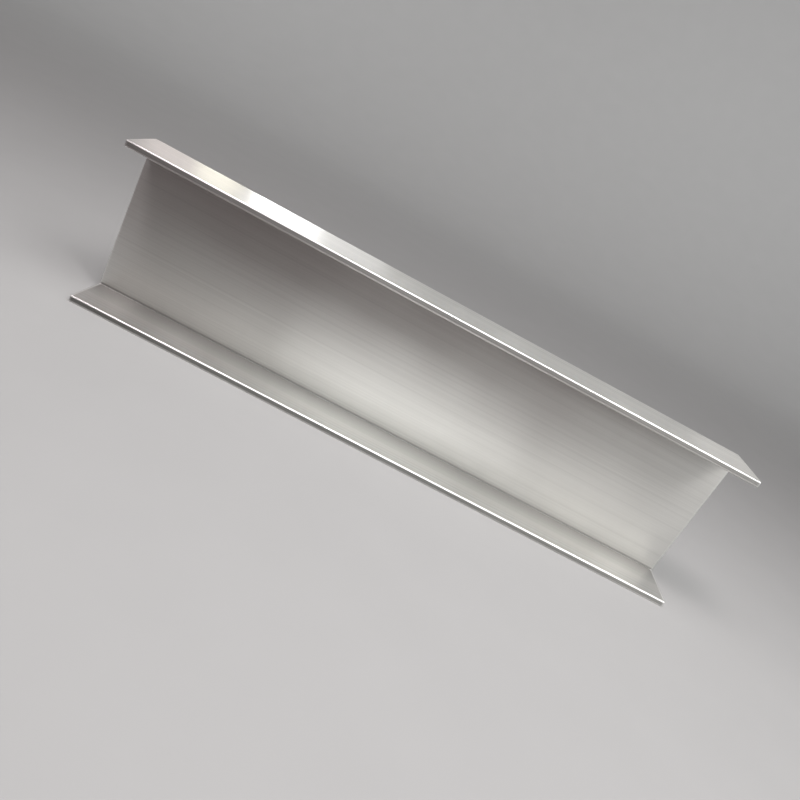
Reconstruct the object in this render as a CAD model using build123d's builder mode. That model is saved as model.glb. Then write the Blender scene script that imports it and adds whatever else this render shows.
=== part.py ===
"""Extruded aluminium U-channel: a short sawn length that stands on one of its flanges.

The bar runs along X. Its web stands upright at the back (+Y) and its open side faces
the front (-Y). The origin is on the floor, under the middle of the bar.
"""

import os

from build123d import *

# Driving dimensions, in millimetres.
bar_length = 202.0  # over the two sawn ends
web_height = 50.0  # over the outer faces of the two flanges
flange_width = 20.0  # from the back of the web to the flange tips
web_thickness = 2.0
flange_thickness = 2.0
heel_radius = 0.5  # outer corners, where the web turns into a flange
root_radius = 0.3  # inner corners, between the web and a flange
tip_radius = 0.45  # both long edges of a flange tip
end_break = 0.2  # bevel filed around each sawn end

# A tip's two roundings share the flange's thickness and leave a flat between them.
largest_tip_share = 0.45
tip_rounding = min(tip_radius, largest_tip_share * flange_thickness)

# The hollow between the flanges, open at the tips.
hollow_depth = flange_width - web_thickness
hollow_height = web_height - 2 * flange_thickness

with BuildPart() as u_channel:
    # The section, drawn across the bar: Y runs from the tips to the web, Z runs up.
    with BuildSketch(Plane.YZ) as section:
        Rectangle(flange_width, web_height, align=(Align.CENTER, Align.MIN))
        with Locations((-flange_width / 2, web_height / 2)):
            Rectangle(
                hollow_depth,
                hollow_height,
                align=(Align.MIN, Align.CENTER),
                mode=Mode.SUBTRACT,
            )
        # From front to back the corners stand in three rows: tips, roots and heels.
        fillet(section.vertices().group_by(Axis.X)[1], root_radius)
        fillet(section.vertices().group_by(Axis.X)[-1], heel_radius)
        fillet(section.vertices().group_by(Axis.X)[0], tip_rounding)
    extrude(amount=bar_length / 2, both=True)

    # The saw leaves a sharp rim around each end, which is broken with a file.
    sawn_ends = u_channel.faces().filter_by(Axis.X)
    chamfer(sawn_ends.edges(), end_break)

u_channel.part.label = "u_channel"

os.makedirs("parts", exist_ok=True)
export_step(u_channel.part, "parts/u_channel.step")
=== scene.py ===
"""Dresses the aluminium U-channel for a studio picture.

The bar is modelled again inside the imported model's box, with finer roundings and filed
ends. It gets a mill finish and two sawn ends, and stands on a pale floor under soft lamps.

Lengths are in metres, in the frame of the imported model: the bar runs along X, its web
stands upright at the back (+Y) and its open side faces the front (-Y). Colours are linear.
"""

import logging
import math
from collections.abc import Iterator
from dataclasses import dataclass
from enum import Enum, IntEnum

import bmesh
import bpy
from mathutils import Matrix, Vector


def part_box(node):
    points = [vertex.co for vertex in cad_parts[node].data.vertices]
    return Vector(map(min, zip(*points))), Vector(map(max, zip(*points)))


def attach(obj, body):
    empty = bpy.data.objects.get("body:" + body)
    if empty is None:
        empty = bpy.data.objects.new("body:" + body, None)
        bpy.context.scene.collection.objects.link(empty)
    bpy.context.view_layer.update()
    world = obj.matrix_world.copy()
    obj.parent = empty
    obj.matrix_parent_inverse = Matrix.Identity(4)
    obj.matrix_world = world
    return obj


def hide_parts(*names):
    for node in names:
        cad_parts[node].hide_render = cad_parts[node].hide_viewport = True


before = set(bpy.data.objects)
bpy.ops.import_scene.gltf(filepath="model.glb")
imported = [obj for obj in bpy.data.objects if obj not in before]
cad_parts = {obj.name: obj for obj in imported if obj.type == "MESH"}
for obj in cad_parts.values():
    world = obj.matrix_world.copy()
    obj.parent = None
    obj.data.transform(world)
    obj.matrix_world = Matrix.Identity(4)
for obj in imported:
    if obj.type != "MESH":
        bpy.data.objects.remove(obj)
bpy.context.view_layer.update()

log = logging.getLogger("u_channel")

# Kinds of value that many fields share.
Place = tuple[float, float, float]
Colour = tuple[float, float, float]
Pair = tuple[float, float]

MM = 0.001
CAD_NODE = "u_channel"
BODY = "root"
WHITE: Colour = (1.0, 1.0, 1.0)

# What the lamps point at.
BAR_MIDDLE: Place = (0.0, 0.0, 0.02)
BAR_TOP: Place = (-0.02, 0.0, 0.05)

# Mesh layers that the finishes read.
GRAIN_MAP = "grain"
BAKE_MAP = "OFBake"
# Per-vertex rub, painted shade for corners, tips and the lower flange, and die-line score.
WEAR_AND_SHADE_LAYER = "wear"


class Surface(IntEnum):
    """The bar's two kinds of surface, in the order of its material slots."""

    EXTRUDED = 0
    SAWN = 1


class Ease(Enum):
    """How a mapped value goes from one end of its range to the other."""

    STRAIGHT = "LINEAR"
    SOFT = "SMOOTHSTEP"


class LampShape(Enum):
    """The outlines that a soft lamp can have."""

    PANEL = "RECTANGLE"
    OVAL = "ELLIPSE"


class Side(Enum):
    """The two ends of the bar, each with the sign of its X."""

    LEFT = -1
    RIGHT = 1


@dataclass(frozen=True)
class CornerKind:
    """What one kind of corner is like.

    radius is its rounding. rub is how bright handling has rubbed it and dull is how much painted
    shade darkens it, both from 0 to 1, and reach is how far they fade out over the flats before
    and after it. score is how strong the die's deeper lines are on those flats.
    """

    radius: float
    rub: float
    dull: float
    reach: Pair
    score: float


@dataclass(frozen=True)
class Corner:
    """A corner of the section before rounding: its place in Y and Z, and its kind."""

    y: float
    z: float
    kind: CornerKind

    @property
    def place(self) -> Vector:
        """The corner's place as a vector."""
        return Vector((self.y, self.z))


@dataclass(frozen=True)
class OutlinePoint:
    """A point of the rounded section.

    place is in Y and Z, normal points out of the metal, run is the distance along the outline
    from its first point, and wear holds the rub, the painted shade and the score there.
    """

    place: Vector
    normal: Vector
    run: float
    wear: Vector


@dataclass(frozen=True)
class ChannelSection:
    """The U-shaped section of the bar, open towards -Y.

    front, back, bottom and top are its limits, and web and flange are its walls. tip_painted_shade
    and shelf_painted_shade are how much painted shade darkens the flange tips' faces and the lower
    flange's upper face, from 0 to 1. largest_fade is the largest share of a flat that a corner's
    rub, painted shade and score fade over.
    """

    front: float
    back: float
    bottom: float
    top: float
    web: float = 2.0 * MM
    flange: float = 2.0 * MM
    heel: CornerKind = CornerKind(
        radius=0.5 * MM, rub=0.7, dull=0.0, reach=(0.7 * MM, 0.7 * MM), score=0.3
    )
    # The inner corners' dull is painted shade: a darker band along both inner corners, fading over
    # the flanges and the web.
    upper_root: CornerKind = CornerKind(
        radius=0.3 * MM, rub=0.0, dull=1.0, reach=(9.0 * MM, 1.2 * MM), score=0.12
    )
    lower_root: CornerKind = CornerKind(
        radius=0.3 * MM, rub=0.0, dull=0.9, reach=(0.8 * MM, 10.0 * MM), score=0.12
    )
    upper_edge: CornerKind = CornerKind(
        radius=0.45 * MM, rub=1.0, dull=0.0, reach=(0.15 * MM, 0.1 * MM), score=0.3
    )
    lower_edge: CornerKind = CornerKind(
        radius=0.45 * MM, rub=1.0, dull=0.0, reach=(0.15 * MM, 0.1 * MM), score=1.0
    )
    under_edge: CornerKind = CornerKind(
        radius=0.45 * MM, rub=0.15, dull=0.0, reach=(0.1 * MM, 0.4 * MM), score=0.3
    )
    tip_painted_shade: float = 0.7
    shelf_painted_shade: float = 0.5
    largest_fade: float = 0.6
    arc_steps: int = 10

    def corners(self) -> list[Corner]:
        """Finds the section's eight corners.

        Returns:
            The corners, anticlockwise as seen from +X, from the lower tip's underside.
        """
        inner_back = self.back - self.web
        inner_bottom = self.bottom + self.flange
        inner_top = self.top - self.flange
        return [
            Corner(self.front, self.bottom, self.under_edge),
            Corner(self.back, self.bottom, self.heel),
            Corner(self.back, self.top, self.heel),
            Corner(self.front, self.top, self.upper_edge),
            Corner(self.front, inner_top, self.under_edge),
            Corner(inner_back, inner_top, self.upper_root),
            Corner(inner_back, inner_bottom, self.lower_root),
            Corner(self.front, inner_bottom, self.lower_edge),
        ]

    def arc(self, before: Corner, corner: Corner, after: Corner) -> list[tuple[Vector, Vector]]:
        """Rounds one corner.

        Args:
            before: the corner that the outline comes from.
            corner: the corner to round.
            after: the corner that the outline goes on to.

        Returns:
            Places and outward normals along the rounding.
        """
        arriving = (corner.place - before.place).normalized()
        leaving = (after.place - corner.place).normalized()
        centre = corner.place + (leaving - arriving) * corner.kind.radius
        first = Vector((arriving.y, -arriving.x))
        last = Vector((leaving.y, -leaving.x))
        outward = 1.0 if arriving.cross(leaving) > 0 else -1.0
        points = []
        for step in range(self.arc_steps + 1):
            angle = math.pi / 2 * step / self.arc_steps
            normal = first * math.cos(angle) + last * math.sin(angle)
            points.append((centre + normal * corner.kind.radius * outward, normal))
        return points

    def flat(
        self,
        start: Vector,
        end: Vector,
        before: Corner,
        after: Corner,
    ) -> list[tuple[Vector, Vector]]:
        """Finds the points on a flat where the rub, painted shade and score of the corners beside it
        have faded out.

        Args:
            start: where the flat begins.
            end: where it ends.
            before: the corner at its start.
            after: the corner at its end.

        Returns:
            Places and their rub, painted shade and score.
        """
        along = end - start
        way = along.normalized()
        most = along.length * self.largest_fade
        dull = 0.0
        # The flange tips' faces and the lower flange's upper face keep painted shade all across.
        if before.y == after.y == self.front:
            dull = self.tip_painted_shade
        elif before.kind is self.lower_root:
            dull = self.shelf_painted_shade
        return [
            (start + way * min(before.kind.reach[1], most), Vector((0.0, dull, before.kind.score))),
            (end - way * min(after.kind.reach[0], most), Vector((0.0, dull, after.kind.score))),
        ]

    def outline(self) -> list[OutlinePoint]:
        """Goes round the whole section.

        Returns:
            The rounded section as a closed ring of points.
        """
        corners = self.corners()
        count = len(corners)
        arcs = [self.arc(corners[i - 1], corners[i], corners[(i + 1) % count]) for i in range(count)]
        ring: list[tuple[Vector, Vector, Vector]] = []
        for i, arc in enumerate(arcs):
            kind = corners[i].kind
            wear = Vector((kind.rub, kind.dull, kind.score))
            ring += [(place, normal, wear) for place, normal in arc]
            start, normal = arc[-1]
            end = arcs[(i + 1) % count][0][0]
            flat = self.flat(start, end, corners[i], corners[(i + 1) % count])
            ring += [(place, normal, faded) for place, faded in flat]
        points = []
        run = 0.0
        for i, (place, normal, wear) in enumerate(ring):
            if i > 0:
                run += (place - ring[i - 1][0]).length
            points.append(OutlinePoint(place, normal, run, wear))
        return points


@dataclass(frozen=True)
class Ring:
    """One ring of points around the bar.

    x is its place along the bar, inset is how far it lies inside the full section, tilt is
    how far its normals lean towards the near end, in radians, and end is that end's sign. rub
    is how bright handling has rubbed the whole ring.
    """

    x: float
    inset: float = 0.0
    tilt: float = 0.0
    end: int = 0
    rub: float = 0.0


class NodeSheet:
    """Places and links the nodes of one material, node group or world."""

    def __init__(self, tree: bpy.types.NodeTree) -> None:
        """Takes over a node tree and empties it."""
        self.tree = tree
        tree.nodes.clear()

    def add(self, kind: str, at: Pair, **settings: object) -> bpy.types.Node:
        """Adds a node.

        Args:
            kind: the node's Blender type.
            at: its place on the sheet.
            settings: attributes of the node to set.

        Returns:
            The new node.
        """
        node = self.tree.nodes.new(kind)
        node.location = at
        for name, value in settings.items():
            setattr(node, name, value)
        return node

    def link(self, start: bpy.types.NodeSocket, end: bpy.types.NodeSocket) -> None:
        """Links an output to an input."""
        self.tree.links.new(start, end)

    def show(self, shader: bpy.types.Node, at: Pair) -> None:
        """Makes a shader the surface of the material, through an output node at a place."""
        out = self.add("ShaderNodeOutputMaterial", at)
        self.link(shader.outputs["BSDF"], out.inputs["Surface"])

    def remap(
        self,
        value: bpy.types.NodeSocket,
        at: Pair,
        source: Pair,
        target: Pair,
        ease: Ease = Ease.STRAIGHT,
    ) -> bpy.types.NodeSocket:
        """Maps one range of values onto another.

        Args:
            value: the output to map.
            at: the node's place on the sheet.
            source: the range that comes in.
            target: the range that goes out.
            ease: how the value goes from one end of the range to the other.

        Returns:
            The output that holds the mapped value.
        """
        node = self.add("ShaderNodeMapRange", at, interpolation_type=ease.value)
        node.inputs["From Min"].default_value = source[0]
        node.inputs["From Max"].default_value = source[1]
        node.inputs["To Min"].default_value = target[0]
        node.inputs["To Max"].default_value = target[1]
        self.link(value, node.inputs["Value"])
        return node.outputs["Result"]

    def maths(
        self,
        operation: str,
        at: Pair,
        first: bpy.types.NodeSocket,
        second: bpy.types.NodeSocket,
    ) -> bpy.types.NodeSocket:
        """Combines two values.

        Args:
            operation: the Math node's operation.
            at: the node's place on the sheet.
            first: the first value.
            second: the second value.

        Returns:
            The output that holds the result.
        """
        node = self.add("ShaderNodeMath", at, operation=operation)
        self.link(first, node.inputs[0])
        self.link(second, node.inputs[1])
        return node.outputs["Value"]

    def blend(
        self,
        share: bpy.types.NodeSocket,
        at: Pair,
        first: bpy.types.NodeSocket | Colour,
        second: Colour,
    ) -> bpy.types.NodeSocket:
        """Blends from one colour to another.

        Args:
            share: the output that says how much of the second colour shows, from 0 to 1.
            at: the node's place on the sheet.
            first: the first colour, or the output that holds it.
            second: the second colour.

        Returns:
            The output that holds the blended colour.
        """
        node = self.add("ShaderNodeMix", at, data_type="RGBA")
        self.link(share, node.inputs["Factor"])
        if isinstance(first, tuple):
            node.inputs["A"].default_value = (*first, 1.0)
        else:
            self.link(first, node.inputs["A"])
        node.inputs["B"].default_value = (*second, 1.0)
        return node.outputs["Result"]


def new_material(name: str) -> tuple[bpy.types.Material, NodeSheet]:
    """Starts a material.

    Args:
        name: the material's name.

    Returns:
        The new material and the empty sheet for its nodes.
    """
    material = bpy.data.materials.new(name)
    material.use_nodes = True
    return material, NodeSheet(material.node_tree)


class SharedGroup:
    """A node group that is built once and placed wherever its effect is needed.

    It takes one vector and some values, and puts out one value.
    """

    name: str
    vector_in: str
    values_in: tuple[str, ...]
    value_out: str

    @classmethod
    def group(cls) -> bpy.types.NodeTree:
        """The group, built at its first use."""
        return bpy.data.node_groups.get(cls.name) or cls.build()

    @classmethod
    def build(cls) -> bpy.types.NodeTree:
        """Builds the group with its named sockets.

        Returns:
            The new group.
        """
        tree = bpy.data.node_groups.new(cls.name, "ShaderNodeTree")
        sockets = tree.interface
        sockets.new_socket(cls.vector_in, in_out="INPUT", socket_type="NodeSocketVector")
        for value_in in cls.values_in:
            sockets.new_socket(value_in, in_out="INPUT", socket_type="NodeSocketFloat")
        sockets.new_socket(cls.value_out, in_out="OUTPUT", socket_type="NodeSocketFloat")
        sheet = NodeSheet(tree)
        inputs = sheet.add("NodeGroupInput", (-700, 0))
        outputs = sheet.add("NodeGroupOutput", (220, 0))
        sheet.link(cls.wire(sheet, inputs), outputs.inputs[cls.value_out])
        return tree

    @classmethod
    def wire(cls, sheet: NodeSheet, inputs: bpy.types.Node) -> bpy.types.NodeSocket:
        """Adds the nodes between the sockets, in each group's own way."""
        raise NotImplementedError(cls.name)


class DieLines(SharedGroup):
    """The fine lines that the die draws along an extruded bar."""

    name = "Die lines"
    vector_in = "Grain"
    values_in = ("Lines per metre", "Breaks per metre")
    value_out = "Lines"
    detail = 4.0
    unevenness = 0.6

    @classmethod
    def wire(cls, sheet: NodeSheet, inputs: bpy.types.Node) -> bpy.types.NodeSocket:
        """Adds noise that is drawn out along the bar.

        Args:
            sheet: the group's nodes.
            inputs: the node that holds the group's inputs.

        Returns:
            The output that holds the lines, from 0 to 1.
        """
        pitch = sheet.add("ShaderNodeCombineXYZ", (-500, -120))
        sheet.link(inputs.outputs["Lines per metre"], pitch.inputs["X"])
        sheet.link(inputs.outputs["Breaks per metre"], pitch.inputs["Y"])
        scaled = sheet.add("ShaderNodeVectorMath", (-300, 0), operation="MULTIPLY")
        sheet.link(inputs.outputs["Grain"], scaled.inputs[0])
        sheet.link(pitch.outputs["Vector"], scaled.inputs[1])
        noise = sheet.add("ShaderNodeTexNoise", (-100, 0), noise_dimensions="2D")
        noise.inputs["Scale"].default_value = 1.0
        noise.inputs["Detail"].default_value = cls.detail
        noise.inputs["Roughness"].default_value = cls.unevenness
        sheet.link(scaled.outputs["Vector"], noise.inputs["Vector"])
        return noise.outputs["Fac"]


class HandlingMarks(SharedGroup):
    """The cloudy, slightly duller patches that hands and stacking leave."""

    name = "Handling marks"
    vector_in = "Place"
    values_in = ("Patches per metre",)
    value_out = "Smudge"
    detail = 5.0
    unevenness = 0.62
    cloud_range = (0.42, 0.68)

    @classmethod
    def wire(cls, sheet: NodeSheet, inputs: bpy.types.Node) -> bpy.types.NodeSocket:
        """Adds soft clouds.

        Args:
            sheet: the group's nodes.
            inputs: the node that holds the group's inputs.

        Returns:
            The output that holds the clouds, from 0 to 1.
        """
        noise = sheet.add("ShaderNodeTexNoise", (-250, 0))
        noise.inputs["Detail"].default_value = cls.detail
        noise.inputs["Roughness"].default_value = cls.unevenness
        sheet.link(inputs.outputs["Place"], noise.inputs["Vector"])
        sheet.link(inputs.outputs["Patches per metre"], noise.inputs["Scale"])
        return sheet.remap(noise.outputs["Fac"], (0, 0), cls.cloud_range, (0, 1))


@dataclass(frozen=True)
class MillMasks:
    """The outputs that the mill finish is mixed from.

    lines adds the fine and the broad die lines, from 0 to 2. The others go from 0 to 1: rub is
    how bright handling has rubbed the metal, corner is how much painted shade darkens it and
    makes it rougher, scored is its deeper lines and smudge is the handling marks.
    """

    lines: bpy.types.NodeSocket
    rub: bpy.types.NodeSocket
    corner: bpy.types.NodeSocket
    scored: bpy.types.NodeSocket
    smudge: bpy.types.NodeSocket


@dataclass(frozen=True)
class MillFinish:
    """Aluminium as it leaves the die: satin, lined along the bar, rubbed bright at its edges.

    Line counts are per metre across the bar, and breaks are changes per metre along a line.
    Lines turn from dull to bright within line_range, and a deeper line sets in within
    groove_range. A share or a change of roughness is what a mask makes at its full strength.
    """

    name: str = "Mill aluminium"
    dull: Colour = (0.64, 0.636, 0.61)
    bright: Colour = (0.68, 0.677, 0.65)
    # Painted shade: the dark grey that the inner corners, the flange tips' faces and the lower
    # flange's upper face are mixed towards.
    painted_shade: Colour = (0.2, 0.197, 0.189)
    scored: Colour = (0.34, 0.337, 0.325)
    rubbed: Colour = (0.82, 0.817, 0.80)
    roughness: float = 0.33
    line_roughness: float = 0.03
    smudge_roughness: float = 0.05
    corner_roughness: float = 0.10
    rub_polish: float = 0.05
    score_roughness: float = 0.05
    painted_shade_share: float = 0.9
    score_share: float = 0.9
    anisotropy: float = 0.86
    fine_lines: float = 3200.0
    fine_breaks: float = 14.0
    broad_lines: float = 700.0
    broad_breaks: float = 5.0
    line_range: Pair = (0.7, 1.3)
    scores: float = 1100.0
    score_breaks: float = 1.5
    groove_range: Pair = (0.5, 0.65)
    patches: float = 34.0
    relief: float = 0.015 * MM

    def material(self) -> bpy.types.Material:
        """Builds the material.

        Returns:
            The new material.
        """
        material, sheet = new_material(self.name)
        masks = self.masks(sheet)
        across = sheet.add("ShaderNodeTangent", (0, -520), direction_type="UV_MAP", uv_map=GRAIN_MAP)
        shader = sheet.add("ShaderNodeBsdfPrincipled", (250, 200))
        shader.inputs["Metallic"].default_value = 1.0
        shader.inputs["Anisotropic"].default_value = self.anisotropy
        sheet.link(self.tone(sheet, masks), shader.inputs["Base Color"])
        sheet.link(self.dullness(sheet, masks), shader.inputs["Roughness"])
        sheet.link(self.grooved(sheet, masks), shader.inputs["Normal"])
        sheet.link(across.outputs["Tangent"], shader.inputs["Tangent"])
        sheet.show(shader, (550, 200))
        return material

    def masks(self, sheet: NodeSheet) -> MillMasks:
        """Adds the die lines, the rub, the painted shade, the deeper lines and the handling marks.

        Args:
            sheet: the material's nodes.

        Returns:
            The outputs to mix the finish from.
        """
        grain = sheet.add("ShaderNodeUVMap", (-1700, 200), uv_map=GRAIN_MAP)
        fine = self.lines(sheet, grain, (-1450, 300), self.fine_lines, self.fine_breaks)
        broad = self.lines(sheet, grain, (-1450, 80), self.broad_lines, self.broad_breaks)
        deep = self.lines(sheet, grain, (-1450, -140), self.scores, self.score_breaks)
        wear = sheet.add("ShaderNodeAttribute", (-1700, -420), attribute_name=WEAR_AND_SHADE_LAYER)
        split = sheet.add("ShaderNodeSeparateXYZ", (-1450, -420))
        sheet.link(wear.outputs["Vector"], split.inputs["Vector"])
        # The layer's Y is the painted shade of the corners, the flange tips and the lower flange's
        # upper face.
        rub, shade_amount, score = (split.outputs[axis] for axis in "XYZ")
        grooves = sheet.remap(deep, (-1200, -140), self.groove_range, (0, 1))
        place = sheet.add("ShaderNodeTexCoord", (-1700, -660))
        marks = sheet.add("ShaderNodeGroup", (-1450, -660), node_tree=HandlingMarks.group())
        marks.inputs["Patches per metre"].default_value = self.patches
        sheet.link(place.outputs["Object"], marks.inputs["Place"])
        return MillMasks(
            lines=sheet.maths("ADD", (-1200, 200), fine, broad),
            rub=rub,
            corner=sheet.remap(shade_amount, (-1200, -420), (0, 1), (0, 1), Ease.SOFT),
            scored=sheet.maths("MULTIPLY", (-1000, -140), grooves, score),
            smudge=marks.outputs["Smudge"],
        )

    def tone(self, sheet: NodeSheet, masks: MillMasks) -> bpy.types.NodeSocket:
        """Mixes the metal's colour.

        Args:
            sheet: the material's nodes.
            masks: the outputs to mix it from.

        Returns:
            The output that holds the colour.
        """
        lit = sheet.remap(masks.lines, (-1000, 400), self.line_range, (0, 1))
        # Share of painted shade in the inner corners, on the flange tips' faces and on the lower
        # flange's upper face.
        shade_part = sheet.remap(masks.corner, (-1000, 620), (0, 1), (0, self.painted_shade_share))
        lined = sheet.remap(masks.scored, (-750, 620), (0, 1), (0, self.score_share))
        colour = sheet.blend(lit, (-750, 400), self.dull, self.bright)
        colour = sheet.blend(shade_part, (-550, 400), colour, self.painted_shade)
        colour = sheet.blend(lined, (-350, 400), colour, self.scored)
        return sheet.blend(masks.rub, (-150, 400), colour, self.rubbed)

    def dullness(self, sheet: NodeSheet, masks: MillMasks) -> bpy.types.NodeSocket:
        """Mixes the metal's roughness.

        Args:
            sheet: the material's nodes.
            masks: the outputs to mix it from.

        Returns:
            The output that holds the roughness.
        """
        half = self.line_roughness / 2
        lined = (self.roughness + half, self.roughness - half)
        rough = sheet.remap(masks.lines, (-1000, 100), self.line_range, lined)
        changes = (
            (masks.smudge, self.smudge_roughness),
            (masks.corner, self.corner_roughness),
            (masks.rub, -self.rub_polish),
            (masks.scored, self.score_roughness),
        )
        for i, (mask, change) in enumerate(changes):
            part = sheet.remap(mask, (-750, -60 - 220 * i), (0, 1), (0, change))
            rough = sheet.maths("ADD", (-550 + 160 * i, -60), rough, part)
        return rough

    def grooved(self, sheet: NodeSheet, masks: MillMasks) -> bpy.types.NodeSocket:
        """Presses the lines into the surface.

        Args:
            sheet: the material's nodes.
            masks: the outputs that hold the lines.

        Returns:
            The output that holds the normals.
        """
        height = sheet.maths("SUBTRACT", (-150, -300), masks.lines, masks.scored)
        bump = sheet.add("ShaderNodeBump", (0, -300))
        bump.inputs["Distance"].default_value = self.relief
        sheet.link(height, bump.inputs["Height"])
        return bump.outputs["Normal"]

    @staticmethod
    def lines(
        sheet: NodeSheet,
        grain: bpy.types.Node,
        at: Pair,
        count: float,
        breaks: float,
    ) -> bpy.types.NodeSocket:
        """Adds one scale of die lines.

        Args:
            sheet: the material's nodes.
            grain: the node that gives the grain map.
            at: the node's place on the sheet.
            count: lines per metre across the bar.
            breaks: changes per metre along a line.

        Returns:
            The output that holds the lines, from 0 to 1.
        """
        node = sheet.add("ShaderNodeGroup", at, node_tree=DieLines.group())
        node.inputs["Lines per metre"].default_value = count
        node.inputs["Breaks per metre"].default_value = breaks
        sheet.link(grain.outputs["UV"], node.inputs["Grain"])
        return node.outputs["Lines"]


@dataclass(frozen=True)
class SawnFinish:
    """A sawn end: fine curved tracks that a large round blade leaves, and a little dullness.

    blade_middle is a point on the blade's axle, and tracks are counted per metre of distance
    from it. A track turns from low to high within track_range. roughness is for clean and
    handled metal.
    """

    name: str = "Sawn aluminium"
    low: Colour = (0.60, 0.598, 0.59)
    high: Colour = (0.74, 0.738, 0.73)
    roughness: Pair = (0.36, 0.5)
    blade_middle: Place = (0.0, 0.11, -0.07)
    tracks: float = 2600.0
    track_detail: float = 3.0
    track_range: Pair = (0.3, 0.7)
    patches: float = 160.0
    relief: float = 0.03 * MM

    def material(self) -> bpy.types.Material:
        """Builds the material.

        Returns:
            The new material.
        """
        material, sheet = new_material(self.name)
        place = sheet.add("ShaderNodeTexCoord", (-1300, 0))
        reach = sheet.add("ShaderNodeVectorMath", (-1080, 100), operation="DISTANCE")
        reach.inputs[1].default_value = self.blade_middle
        sheet.link(place.outputs["Object"], reach.inputs[0])
        noise = sheet.add("ShaderNodeTexNoise", (-860, 100), noise_dimensions="1D")
        noise.inputs["Scale"].default_value = self.tracks
        noise.inputs["Detail"].default_value = self.track_detail
        sheet.link(reach.outputs["Value"], noise.inputs["W"])
        marks = sheet.add("ShaderNodeGroup", (-860, -160), node_tree=HandlingMarks.group())
        marks.inputs["Patches per metre"].default_value = self.patches
        sheet.link(place.outputs["Object"], marks.inputs["Place"])

        lit = sheet.remap(noise.outputs["Fac"], (-620, 250), self.track_range, (0, 1))
        colour = sheet.blend(lit, (-400, 250), self.low, self.high)
        rough = sheet.remap(marks.outputs["Smudge"], (-620, -60), (0, 1), self.roughness)
        bump = sheet.add("ShaderNodeBump", (-400, -260))
        bump.inputs["Distance"].default_value = self.relief
        sheet.link(noise.outputs["Fac"], bump.inputs["Height"])

        shader = sheet.add("ShaderNodeBsdfPrincipled", (-50, 200))
        shader.inputs["Metallic"].default_value = 1.0
        sheet.link(colour, shader.inputs["Base Color"])
        sheet.link(rough, shader.inputs["Roughness"])
        sheet.link(bump.outputs["Normal"], shader.inputs["Normal"])
        sheet.show(shader, (300, 200))
        return material


class BarDraft:
    """The bar's mesh while it is built, with the layers that its finishes read."""

    def __init__(self) -> None:
        """Starts an empty mesh with its layer of rub, painted shade and score, its grain map and its
        bake map.
        """
        self.work = bmesh.new()
        self.wear = self.work.verts.layers.float_vector.new(WEAR_AND_SHADE_LAYER)
        self.grain = self.work.loops.layers.uv.new(GRAIN_MAP)
        self.baked = self.work.loops.layers.uv.new(BAKE_MAP)


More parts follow.
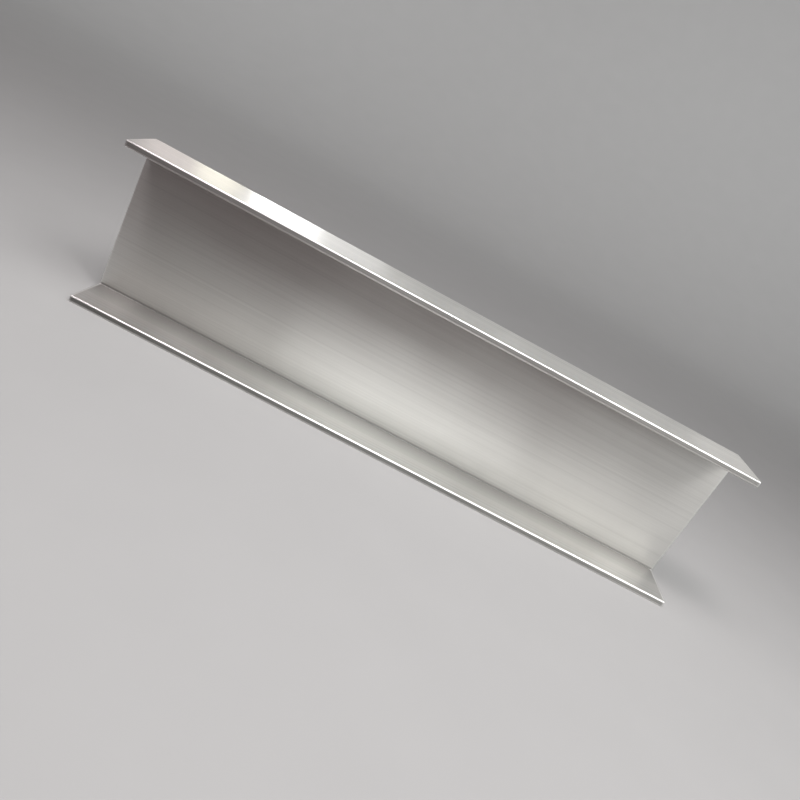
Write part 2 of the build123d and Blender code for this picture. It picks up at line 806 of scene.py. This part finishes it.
@dataclass(frozen=True)
class ChannelBar:
    """The U-channel itself: one extruded piece, sawn to length and filed at its ends.

    end_break is the filed rounding, end_rub is how bright filing has left it, and rub_reach is
    how far that fades out. Rings of points stand station_gap apart at most. The bake map is
    map_side of skin wide, and ends_across, left_end_along and right_end_along are where the
    two sawn faces lie on it, past the end of the outline.
    """

    left: float
    right: float
    section: ChannelSection
    end_break: float = 0.2 * MM
    break_steps: int = 4
    end_rub: float = 0.6
    rub_reach: float = 0.5 * MM
    station_gap: float = 6.0 * MM
    map_side: float = 0.215
    map_margin: float = 0.02
    ends_across: float = 0.187
    left_end_along: float = 0.01
    right_end_along: float = 0.07
    name: str = "channel_bar"

    @classmethod
    def from_frame(cls) -> "ChannelBar":
        """Takes the bar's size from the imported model.

        Returns:
            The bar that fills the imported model's box.
        """
        low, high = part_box(CAD_NODE)
        section = ChannelSection(front=low.y, back=high.y, bottom=low.z, top=high.z)
        return cls(left=low.x, right=high.x, section=section)

    def end_rings(self, side: Side) -> list[Ring]:
        """Rounds the rim of one end.

        Args:
            side: the end to round.

        Returns:
            The rounding's rings, from the full section to the end face.
        """
        end = self.left if side is Side.LEFT else self.right
        rings = []
        for step in range(self.break_steps + 1):
            tilt = math.pi / 2 * step / self.break_steps
            inset = self.end_break * (1 - math.cos(tilt))
            x = end - side.value * self.end_break * (1 - math.sin(tilt))
            rings.append(Ring(x, inset, tilt, side.value, self.end_rub))
        return rings

    def rings(self) -> list[Ring]:
        """Finds every ring of the bar.

        Returns:
            The rings, from the left end face to the right one.
        """
        margin = self.end_break + self.rub_reach
        start, stop = self.left + margin, self.right - margin
        count = math.ceil((stop - start) / self.station_gap)
        straight = [Ring(start + (stop - start) * i / count) for i in range(count + 1)]
        return self.end_rings(Side.LEFT)[::-1] + straight + self.end_rings(Side.RIGHT)

    def vertex(self, draft: BarDraft, ring: Ring, spot: OutlinePoint) -> bmesh.types.BMVert:
        """Adds the vertex of one outline point on one ring.

        Args:
            draft: the mesh being built.
            ring: the ring that it lies on.
            spot: its point of the outline.

        Returns:
            The new vertex.
        """
        y, z = spot.place - spot.normal * ring.inset
        vertex = draft.work.verts.new((ring.x, y, z))
        vertex[draft.wear] = (max(ring.rub, spot.wear.x), spot.wear.y, spot.wear.z)
        return vertex

    def normal(self, ring: Ring, spot: OutlinePoint) -> Vector:
        """The direction that the metal faces at one outline point of one ring."""
        y, z = spot.normal * math.cos(ring.tilt)
        return Vector((ring.end * math.sin(ring.tilt), y, z))

    def on_map(self, across: float, along: float) -> Pair:
        """A place on the bake map, from distances across and along the bar's skin."""
        return (self.map_margin + across / self.map_side, self.map_margin + along / self.map_side)

    def build(self) -> bpy.types.Object:
        """Builds the bar's mesh with its maps, its wear and its normals.

        Returns:
            The new object.
        """
        outline = self.section.outline()
        rings = self.rings()
        draft = BarDraft()
        rows = [[self.vertex(draft, ring, spot) for spot in outline] for ring in rings]
        runs = [spot.run for spot in outline]
        closing = (outline[0].place - outline[-1].place).length
        runs.append(runs[-1] + closing)
        for near, far in zip(rows, rows[1:]):
            self.join(draft, near, far, runs)
        self.close_end(draft, Side.LEFT, rows[0][::-1])
        self.close_end(draft, Side.RIGHT, rows[-1])

        mesh = bpy.data.meshes.new(self.name)
        draft.work.to_mesh(mesh)
        draft.work.free()
        mesh.shade_smooth()
        normals = [self.normal(ring, spot) for ring in rings for spot in outline]
        mesh.normals_split_custom_set_from_vertices(normals)
        mesh.uv_layers[GRAIN_MAP].active_render = True
        bar = bpy.data.objects.new(self.name, mesh)
        bpy.context.scene.collection.objects.link(bar)
        return bar

    def join(
        self,
        draft: BarDraft,
        near: list[bmesh.types.BMVert],
        far: list[bmesh.types.BMVert],
        runs: list[float],
    ) -> None:
        """Joins two rings with faces and lays both maps on them.

        Args:
            draft: the mesh being built.
            near: the left ring's vertices.
            far: the right ring's vertices.
            runs: each vertex's distance along the outline, and the outline's whole length.
        """
        count = len(near)
        for i in range(count):
            j = (i + 1) % count
            face = draft.work.faces.new((near[i], near[j], far[j], far[i]))
            face.material_index = Surface.EXTRUDED
            for loop, run in zip(face.loops, (runs[i], runs[i + 1], runs[i + 1], runs[i])):
                along = loop.vert.co.x - self.left
                loop[draft.grain].uv = (run, along)
                loop[draft.baked].uv = self.on_map(run, along)

    def close_end(self, draft: BarDraft, side: Side, row: list[bmesh.types.BMVert]) -> None:
        """Closes one end with its sawn face.

        Args:
            draft: the mesh being built.
            side: the end to close.
            row: the last ring's vertices, anticlockwise as seen from outside.
        """
        cap = draft.work.faces.new(row)
        cap.material_index = Surface.SAWN
        cap.normal_update()
        along = self.left_end_along if side is Side.LEFT else self.right_end_along
        for loop in cap.loops:
            across = side.value * loop.vert.co.y + self.section.back
            loop[draft.grain].uv = (across, loop.vert.co.z)
            loop[draft.baked].uv = self.on_map(self.ends_across + across, along + loop.vert.co.z)
        bmesh.ops.triangulate(draft.work, faces=[cap])

    def dress(self, bar: bpy.types.Object) -> None:
        """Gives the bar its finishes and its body.

        Args:
            bar: the bar's object.
        """
        bar.data.materials.append(MillFinish().material())
        bar.data.materials.append(SawnFinish().material())
        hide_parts(CAD_NODE)
        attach(bar, BODY)


@dataclass(frozen=True)
class SweepFinish:
    """The studio's matt paper: pale, with a trace of tooth, counted per metre."""

    name: str = "Studio paper"
    pale: Colour = (0.46, 0.46, 0.458)
    shaded: Colour = (0.44, 0.44, 0.438)
    tooth: float = 40.0
    roughness: float = 0.9
    gloss: float = 0.1

    def material(self) -> bpy.types.Material:
        """Builds the material.

        Returns:
            The new material.
        """
        material, sheet = new_material(self.name)
        place = sheet.add("ShaderNodeTexCoord", (-800, 0))
        noise = sheet.add("ShaderNodeTexNoise", (-600, 0))
        noise.inputs["Scale"].default_value = self.tooth
        sheet.link(place.outputs["Object"], noise.inputs["Vector"])
        colour = sheet.blend(noise.outputs["Fac"], (-350, 0), self.shaded, self.pale)
        shader = sheet.add("ShaderNodeBsdfPrincipled", (-100, 0))
        shader.inputs["Roughness"].default_value = self.roughness
        shader.inputs["Specular IOR Level"].default_value = self.gloss
        sheet.link(colour, shader.inputs["Base Color"])
        sheet.show(shader, (200, 0))
        return material


@dataclass(frozen=True)
class Sweep:
    """A sheet of studio paper: floor in front, curved up into a wall at the back."""

    half_width: float = 1.15
    front: float = -0.85
    curve_start: float = 0.55
    curve_radius: float = 0.5
    wall_top: float = 1.5
    curve_steps: int = 24
    name: str = "studio_sweep"

    def profile(self) -> Iterator[Pair]:
        """Goes along the sheet's edge.

        Returns:
            Places in Y and Z, from the front of the floor to the top of the wall.
        """
        yield self.front, 0.0
        for step in range(self.curve_steps + 1):
            angle = math.pi / 2 * step / self.curve_steps
            y = self.curve_start + self.curve_radius * math.sin(angle)
            yield y, self.curve_radius * (1 - math.cos(angle))
        yield self.curve_start + self.curve_radius, self.wall_top

    def build(self) -> bpy.types.Object:
        """Builds the sheet.

        Returns:
            The new object.
        """
        edge = list(self.profile())
        places = [(side * self.half_width, y, z) for y, z in edge for side in (-1, 1)]
        faces = [(2 * i, 2 * i + 1, 2 * i + 3, 2 * i + 2) for i in range(len(edge) - 1)]
        mesh = bpy.data.meshes.new(self.name)
        mesh.from_pydata(places, [], faces)
        mesh.shade_smooth()
        mesh.materials.append(SweepFinish().material())
        sweep = bpy.data.objects.new(self.name, mesh)
        bpy.context.scene.collection.objects.link(sweep)
        return sweep


@dataclass(frozen=True)
class CardFinish:
    """A card's plain matt paint."""

    name: str
    colour: Colour
    roughness: float = 1.0
    gloss: float = 0.0

    def material(self) -> bpy.types.Material:
        """Builds the material.

        Returns:
            The new material.
        """
        material, sheet = new_material(self.name)
        shader = sheet.add("ShaderNodeBsdfPrincipled", (0, 0))
        shader.inputs["Base Color"].default_value = (*self.colour, 1.0)
        shader.inputs["Roughness"].default_value = self.roughness
        shader.inputs["Specular IOR Level"].default_value = self.gloss
        sheet.show(shader, (300, 0))
        return material


@dataclass(frozen=True)
class Card:
    """A matt card beside the bar, for the metal to mirror.

    The camera doesn't see the card, and it neither shades nor tints the paper.
    """

    name: str
    corners: tuple[Place, ...]
    colour: Colour

    def build(self) -> bpy.types.Object:
        """Places the card, hidden from the camera, from diffuse rays and from shadows.

        Returns:
            The new object.
        """
        mesh = bpy.data.meshes.new(self.name)
        mesh.from_pydata(self.corners, [], [range(len(self.corners))])
        mesh.materials.append(CardFinish(self.name, self.colour).material())
        card = bpy.data.objects.new(self.name, mesh)
        card.visible_camera = False
        card.visible_diffuse = False
        card.visible_shadow = False
        bpy.context.scene.collection.objects.link(card)
        return card


def laid(height: float, *corners: Pair) -> tuple[Place, ...]:
    """The corners of a card that lies flat at a height, from their X and Y."""
    return tuple((x, y, height) for x, y in corners)


def stood(left: float, right: float, y: float, top: float) -> tuple[Place, ...]:
    """The corners of a card that stands on the paper and faces the front."""
    return ((left, y, 0.0), (right, y, 0.0), (right, y, top), (left, y, top))


@dataclass(frozen=True)
class SoftLamp:
    """A flat soft lamp: where it hangs, what it points at, its size and its power in watts.

    spread is the angle that its grid lets the light fan out to, in degrees.
    """

    name: str
    place: Place
    aim: Place
    size: Pair
    power: float
    colour: Colour = WHITE
    spread: float = 180.0
    shape: LampShape = LampShape.PANEL

    def build(self) -> bpy.types.Object:
        """Hangs the lamp, out of the camera's sight.

        Returns:
            The new object.
        """
        light = bpy.data.lights.new(self.name, "AREA")
        light.shape = self.shape.value
        light.size, light.size_y = self.size
        light.energy = self.power
        light.color = self.colour
        light.spread = math.radians(self.spread)
        lamp = bpy.data.objects.new(self.name, light)
        lamp.location = self.place
        beam = Vector(self.aim) - Vector(self.place)
        lamp.rotation_euler = beam.to_track_quat("-Z", "Y").to_euler()
        lamp.visible_camera = False
        bpy.context.scene.collection.objects.link(lamp)
        return lamp


def hung(bearing: float, elevation: float, distance: float = 0.75) -> Place:
    """Finds a lamp's place around the bar.

    Args:
        bearing: degrees from the front (-Y) round towards +X.
        elevation: degrees above the floor.
        distance: metres from the bar.

    Returns:
        The place in X, Y and Z.
    """
    around, up = math.radians(bearing), math.radians(elevation)
    reach = distance * math.cos(up)
    return (reach * math.sin(around), -reach * math.cos(around), distance * math.sin(up))


def strip(
    name: str,
    x: float,
    size: Pair,
    power: float,
    colour: Colour = WHITE,
    height: float = 0.15,
    behind: float = 0.42,
    spread: float = 40.0,
) -> SoftLamp:
    """Describes a narrow lamp low behind the bar, for its top flange to mirror.

    Args:
        name: the lamp's name.
        x: its place along the bar.
        size: its width and height.
        power: its power in watts.
        colour: its colour.
        height: its middle above the floor.
        behind: its distance behind the bar.
        spread: the angle that its grid lets the light fan out to, in degrees.

    Returns:
        The lamp, not yet hung.
    """
    return SoftLamp(name, (x, behind, height), BAR_TOP, size, power, colour, spread)


@dataclass(frozen=True)
class Studio:
    """The dim room: its paper sweep, the cards around the bar and the lamps.

    room is the light that its air gives, and far_wall is what shows past the paper.
    """

    room: Colour = (0.02, 0.02, 0.02)
    far_wall: Colour = (0.2, 0.2, 0.2)
    cards: tuple[Card, ...] = (
        Card(
            "dark_card",
            laid(1.0 * MM, (-0.6, -0.8), (0.25, -0.8), (0.15, -0.09), (-0.3, -0.015)),
            (0.075, 0.046, 0.05),
        ),
        Card(
            "white_card",
            laid(
                1.0 * MM,
                (-0.075, -0.0135),
                (-0.015, -0.027),
                (0.03, -0.027),
                (0.11, -0.021),
                (0.11, -0.0135),
            ),
            (0.9, 0.9, 0.89),
        ),
        Card(
            "tip_card",
            laid(0.2 * MM, (-0.104, -0.0104), (-0.104, -0.016), (0.0, -0.0145), (0.09, -0.0104)),
            (0.03, 0.03, 0.03),
        ),
        Card("left_end_card", stood(-0.25, -0.104, 0.02, 0.048), (0.9, 0.88, 0.88)),
        Card("right_end_card", stood(0.104, 0.25, 0.02, 0.048), (0.9, 0.9, 0.89)),
    )
    lamps: tuple[SoftLamp, ...] = (
        SoftLamp("overhead_lamp", (0.02, -0.035, 0.2), (0.02, -0.035, 0.0), (0.3, 0.06), 0.15),
        SoftLamp("front_lamp", hung(7, 51), BAR_MIDDLE, (0.24, 0.32), 1.75),
        SoftLamp("front_left_lamp", hung(-10, 50), BAR_MIDDLE, (0.22, 0.2), 0.5),
        SoftLamp("right_lamp", hung(44, 50), BAR_MIDDLE, (0.24, 0.42), 2.15, (1.0, 0.975, 0.965)),
        SoftLamp("left_lamp", hung(-45, 63), BAR_MIDDLE, (0.24, 0.22), 1.6, (1.0, 0.91, 0.92)),
        SoftLamp("low_lamp", hung(33, 22), BAR_MIDDLE, (0.4, 0.2), 0.5),
        SoftLamp(
            "glow_lamp",
            (0.003, -0.018, 0.0015),
            (0.003, -0.018, 0.1),
            (0.1, 0.012),
            0.0045,
            shape=LampShape.OVAL,
        ),
        SoftLamp(
            "right_backdrop_lamp",
            (0.65, 0.3, 1.2),
            (0.7, 1.05, 0.4),
            (1.2, 0.3),
            3.4,
            spread=100.0,
        ),
        SoftLamp(
            "left_backdrop_lamp",
            (-0.6, 0.3, 1.2),
            (-0.6, 1.05, 0.4),
            (0.5, 0.3),
            2.6,
            spread=100.0,
        ),
        strip("rose_strip", -0.236, (0.051, 0.14), 0.0026, (1.0, 0.86, 0.84)),
        strip("left_strip", -0.19, (0.037, 0.12), 0.0036, (1.0, 0.96, 0.8)),
        strip("glint_strip", -0.126, (0.062, 0.12), 0.011),
        strip("fading_strip", -0.06, (0.06, 0.12), 0.0021),
        strip("right_end_strip", 0.335, (0.1, 0.14), 0.003, (1.0, 0.96, 0.95), height=0.165),
    )

    def build(self) -> list[bpy.types.Object]:
        """Builds the sweep, the cards, the lamps and the world.

        Returns:
            The objects that stand or hang in the room.
        """
        placed = [Sweep().build()]
        placed += [card.build() for card in self.cards]
        placed += [lamp.build() for lamp in self.lamps]
        bpy.context.scene.world = self.world()
        bpy.context.scene.view_settings.view_transform = "Standard"
        return placed

    def world(self) -> bpy.types.World:
        """Builds the dim room, whose far wall shows to the camera and in the metal.

        Returns:
            The new world.
        """
        world = bpy.data.worlds.new("Dim room")
        world.use_nodes = True
        sheet = NodeSheet(world.node_tree)
        ray = sheet.add("ShaderNodeLightPath", (-800, 0))
        camera_ray, glossy_ray = ray.outputs["Is Camera Ray"], ray.outputs["Is Glossy Ray"]
        seen = sheet.maths("MAXIMUM", (-600, 0), camera_ray, glossy_ray)
        colour = sheet.blend(seen, (-400, 0), self.room, self.far_wall)
        background = sheet.add("ShaderNodeBackground", (-200, 0))
        sheet.link(colour, background.inputs["Color"])
        out = sheet.add("ShaderNodeOutputWorld", (0, 0))
        sheet.link(background.outputs["Background"], out.inputs["Surface"])
        return world


@dataclass(frozen=True)
class PhotoCamera:
    """A camera held close to the bar and rolled, as the photograph was taken.

    Angles are in degrees: yaw from +Y round towards +X, pitch above the horizon, and roll,
    which lifts the camera's right side. The lens and the picture's width are in millimetres,
    and nothing nearer than nearest shows.
    """

    eye: Place = (-21.17 * MM, -210.45 * MM, 93.15 * MM)
    yaw: float = 5.248
    pitch: float = -19.831
    roll: float = 29.518
    lens: float = 32.99
    picture_width: float = 36.0
    nearest: float = 10.0 * MM
    name: str = "photo_camera"

    def build(self) -> bpy.types.Object:
        """Makes the scene's camera.

        Returns:
            The new object.
        """
        data = bpy.data.cameras.new(self.name)
        data.sensor_width = self.picture_width
        data.lens = self.lens
        data.clip_start = self.nearest
        camera = bpy.data.objects.new(self.name, data)
        heading = Matrix.Rotation(math.radians(-self.yaw), 3, "Z")
        nod = Matrix.Rotation(math.radians(90 + self.pitch), 3, "X")
        lean = Matrix.Rotation(math.radians(self.roll), 3, "Z")
        camera.rotation_euler = (heading @ nod @ lean).to_euler()
        camera.location = self.eye
        bpy.context.scene.collection.objects.link(camera)
        bpy.context.scene.camera = camera
        return camera


def main() -> None:
    """Builds the bar, the studio and the camera, and reports each."""
    logging.basicConfig(level=logging.INFO, format="%(message)s")
    maker = ChannelBar.from_frame()
    bar = maker.build()
    maker.dress(bar)
    log.info("%s: %d faces", bar.name, len(bar.data.polygons))
    for placed in Studio().build():
        log.info("%s: placed", placed.name)
    camera = PhotoCamera().build()
    log.info("%s: %.1f mm lens", camera.name, camera.data.lens)


if __name__ == "__main__":
    main()
